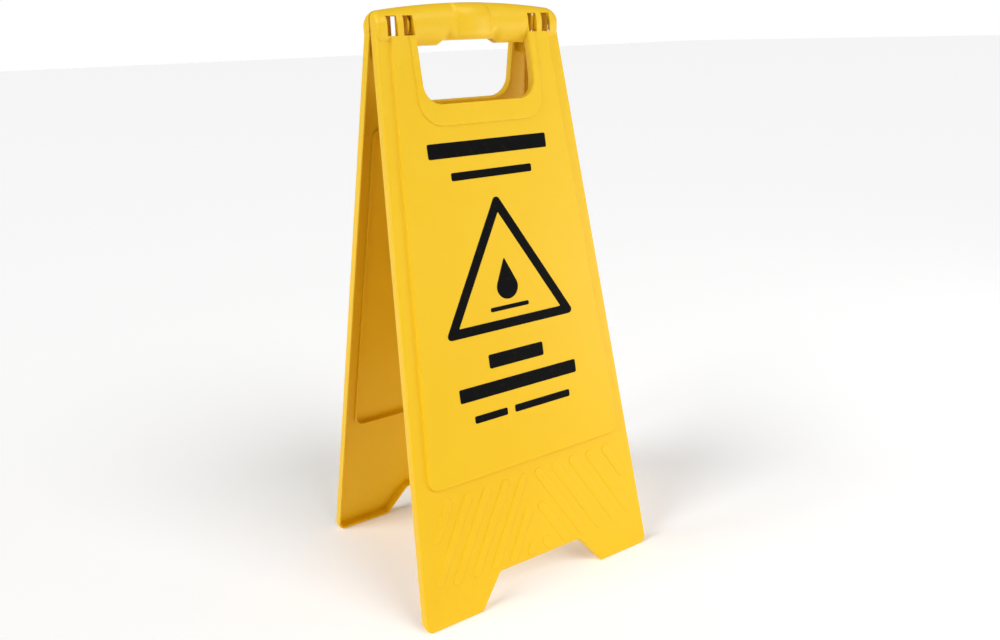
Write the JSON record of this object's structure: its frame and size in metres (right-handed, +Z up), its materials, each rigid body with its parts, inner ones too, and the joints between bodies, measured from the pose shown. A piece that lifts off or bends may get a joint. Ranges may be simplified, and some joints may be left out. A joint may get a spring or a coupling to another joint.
{
  "type": "wet floor sign",
  "caption": "Folding A-frame wet floor sign: moulded panels with half-round handle bars, hinged at the top.",
  "frame": {"origin": "centre of the sign's footprint on the floor, midway between the feet of the two panels, with the sign open", "axes": "+Z up, X along the hinge axis and across the panels, the front panel faces -Y"},
  "size_m": [0.2992, 0.2524, 0.6208],
  "materials": {
    "yellow_plastic": "satin moulded polypropylene",
    "pin_plastic": "satin moulded plastic",
    "print_black": "flat printed ink"
  },
  "bodies": {
    "front": {"front_panel": "yellow_plastic", "hinge_pin_left": "pin_plastic", "hinge_pin_right": "pin_plastic"},
    "back": {"back_panel": "yellow_plastic"}
  },
  "joints": [
    {"name": "fold", "type": "hinge", "parent": "front", "child": "back", "pos_m": [0, 0, 0.6005], "axis": [-1, 0, 0], "range_deg": [0, 21.5]}
  ]
}
